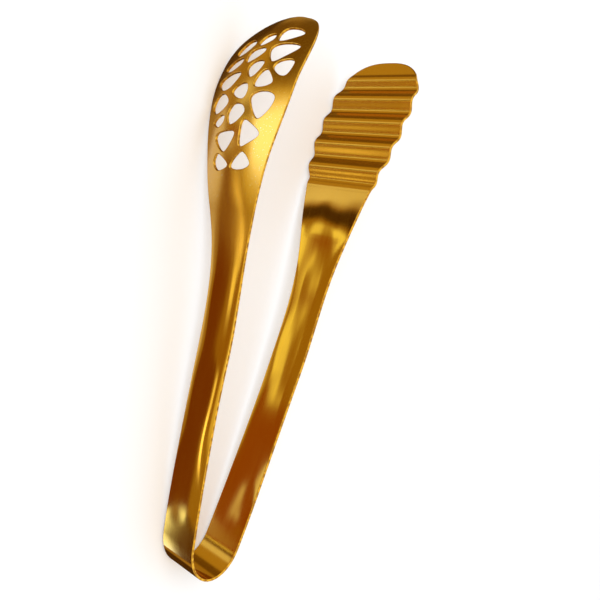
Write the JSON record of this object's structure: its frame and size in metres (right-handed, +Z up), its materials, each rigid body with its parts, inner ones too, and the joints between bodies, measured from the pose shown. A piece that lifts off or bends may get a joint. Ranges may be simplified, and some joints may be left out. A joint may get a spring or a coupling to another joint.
{
  "type": "serving tongs",
  "caption": "Springy serving tongs bent from one gold-finished steel strip, with a dished slotted head on one arm and a flat corrugated head on the other.",
  "frame": {"origin": "centre of the tongs' overall box, on the table that they lie on", "axes": "+X from the bow towards the heads, +Y towards the slotted arm, +Z up from the table, along the strip's width but for the 3.86 degrees that the narrow bow sinks"},
  "size_m": [0.2542, 0.081, 0.0536],
  "materials": {
    "gold_steel": "mirror-polished stainless steel with a gold-coloured coating, lightly brushed at the heads"
  },
  "bodies": {
    "bow": {"spring_bow": "gold_steel"},
    "slotted_arm": {"slotted_handle": "gold_steel", "slotted_head": "gold_steel"},
    "corrugated_arm": {"corrugated_handle": "gold_steel", "corrugated_head": "gold_steel"}
  },
  "joints": [
    {"name": "slotted_arm_squeeze", "type": "hinge", "parent": "bow", "child": "slotted_arm", "pos_m": [-0.10816, -0.00267, 0.01312], "axis": [0.0679, 0, -0.9977], "range_deg": [0, 7], "stiffness_Nm_per_rad": 4},
    {"name": "corrugated_arm_squeeze", "type": "hinge", "parent": "bow", "child": "corrugated_arm", "pos_m": [-0.10816, -0.00267, 0.01312], "axis": [-0.0679, 0, 0.9977], "range_deg": [0, 7], "stiffness_Nm_per_rad": 4}
  ],
  "couplings": [
    {"joint": "corrugated_arm_squeeze", "follows": "slotted_arm_squeeze", "ratio": 1}
  ]
}
